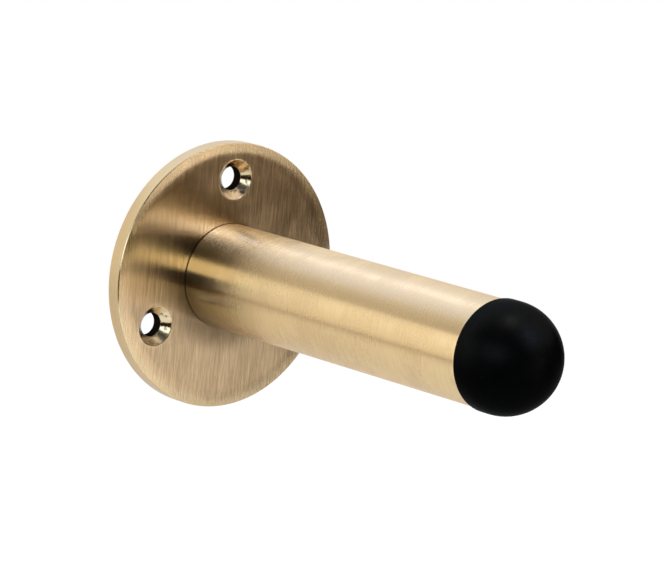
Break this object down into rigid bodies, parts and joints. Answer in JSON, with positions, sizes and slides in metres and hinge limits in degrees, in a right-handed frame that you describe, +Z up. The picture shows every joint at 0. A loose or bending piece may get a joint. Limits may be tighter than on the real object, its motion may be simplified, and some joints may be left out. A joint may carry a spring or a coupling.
{
  "type": "skirting-mounted door stop",
  "caption": "Projecting door stop: a round brass bar on a screw-down rose, with a domed black rubber buffer at its nose that meets the door.",
  "frame": {"origin": "centre of the rose's back face, on the plane of the skirting board", "axes": "+Z up, towards the top screw hole; +Y into the wall, so the stop reaches out along -Y; +X to the right as seen from the door"},
  "size_m": [0.051, 0.0943, 0.051],
  "materials": {
    "rose_brass": "satin antique brass, straight grain",
    "bar_brass": "satin antique brass, brushed round the bar",
    "buffer_rubber": "matt black rubber",
    "screw_steel": "bright zinc plate"
  },
  "bodies": {
    "root": {"rose": "rose_brass", "bar": "bar_brass", "buffer": "buffer_rubber", "fixing_screw": "screw_steel"}
  },
  "joints": []
}
